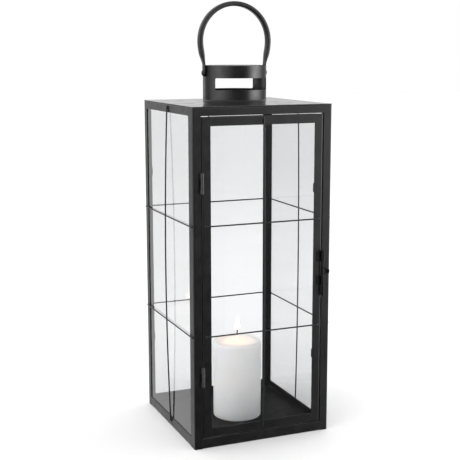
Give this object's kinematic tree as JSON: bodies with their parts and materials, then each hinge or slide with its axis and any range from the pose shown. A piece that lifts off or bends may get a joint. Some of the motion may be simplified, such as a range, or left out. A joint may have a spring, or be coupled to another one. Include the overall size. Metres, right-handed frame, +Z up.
{
  "type": "candle lantern",
  "caption": "Tall glazed metal candle lantern with a wire lattice, hinged glass door with a swinging latch, vent collar and folding bail handle.",
  "frame": {"origin": "centre of the base, on the surface that the lantern stands on", "axes": "+Z up through the handle; -Y out of the door; +X to the right of someone facing the door"},
  "size_m": [0.211, 0.2099, 0.5968],
  "materials": {
    "frame_black": "satin black powder coat",
    "roof_black": "satin black powder coat",
    "tray_grey": "satin black powder coat, soot-dusted",
    "handle_black": "satin black powder coat",
    "clear_glass": "clear float glass",
    "clip_black": "satin black powder coat",
    "wire_black": "satin black powder coat",
    "hinge_black": "satin black powder coat, rubbed",
    "latch_black": "satin black powder coat, rubbed",
    "candle_wax": "white wax, smooth and slightly translucent",
    "wick_cotton": "plaited cotton, charred at the tip"
  },
  "bodies": {
    "root": {"corner_post_front_left": "frame_black", "corner_post_front_right": "frame_black", "corner_post_back_left": "frame_black", "corner_post_back_right": "frame_black", "top_rail_front": "frame_black", "top_rail_back": "frame_black", "top_rail_left": "frame_black", "top_rail_right": "frame_black", "bottom_rail_front": "frame_black", "bottom_rail_back": "frame_black", "bottom_rail_left": "frame_black", "bottom_rail_right": "frame_black", "roof_plate": "roof_black", "vent_collar": "roof_black", "vent_cap": "roof_black", "floor_tray": "tray_grey", "handle_rivet_left": "handle_black", "handle_rivet_right": "handle_black", "glass_left": "clear_glass", "glass_right": "clear_glass", "glass_back": "clear_glass", "glass_clips_left": "clip_black", "glass_clips_right": "clip_black", "glass_clips_back": "clip_black", "left_upright_wire": "wire_black", "left_upper_cross_wire": "wire_black", "left_lower_cross_wire": "wire_black", "right_upright_wire": "wire_black", "right_upper_cross_wire": "wire_black", "right_lower_cross_wire": "wire_black", "back_upright_wire": "wire_black", "back_upper_cross_wire": "wire_black", "back_lower_cross_wire": "wire_black", "upper_hinge_frame_knuckles": "hinge_black", "upper_hinge_pin": "hinge_black", "lower_hinge_frame_knuckles": "hinge_black", "lower_hinge_pin": "hinge_black", "latch_catch": "latch_black", "candle": "candle_wax", "wick": "wick_cotton", "door_jamb_left": "frame_black", "door_jamb_right": "frame_black"},
    "door": {"door_hinge_stile": "frame_black", "door_latch_stile": "frame_black", "door_top_rail": "frame_black", "door_bottom_rail": "frame_black", "door_glass": "clear_glass", "door_glass_clips": "clip_black", "door_upright_wire": "wire_black", "door_upper_cross_wire": "wire_black", "door_lower_cross_wire": "wire_black", "upper_hinge_door_knuckle": "hinge_black", "lower_hinge_door_knuckle": "hinge_black", "latch_upper_bracket": "latch_black", "latch_lower_bracket": "latch_black"},
    "latch": {"latch_rod": "latch_black", "latch_loop": "latch_black"},
    "handle": {"handle": "handle_black"}
  },
  "joints": [
    {"name": "door_hinge", "type": "hinge", "parent": "root", "child": "door", "pos_m": [-0.0879, -0.1025, 0.2311], "axis": [0, 0, -1], "range_deg": [0, 170]},
    {"name": "latch_turn", "type": "hinge", "parent": "door", "child": "latch", "pos_m": [0.088, -0.103, 0.23], "axis": [0, 0, -1], "range_deg": [0, 170]},
    {"name": "handle_swing", "type": "hinge", "parent": "root", "child": "handle", "pos_m": [0, 0, 0.5], "axis": [1, 0, 0], "range_deg": [-105, 105]}
  ]
}
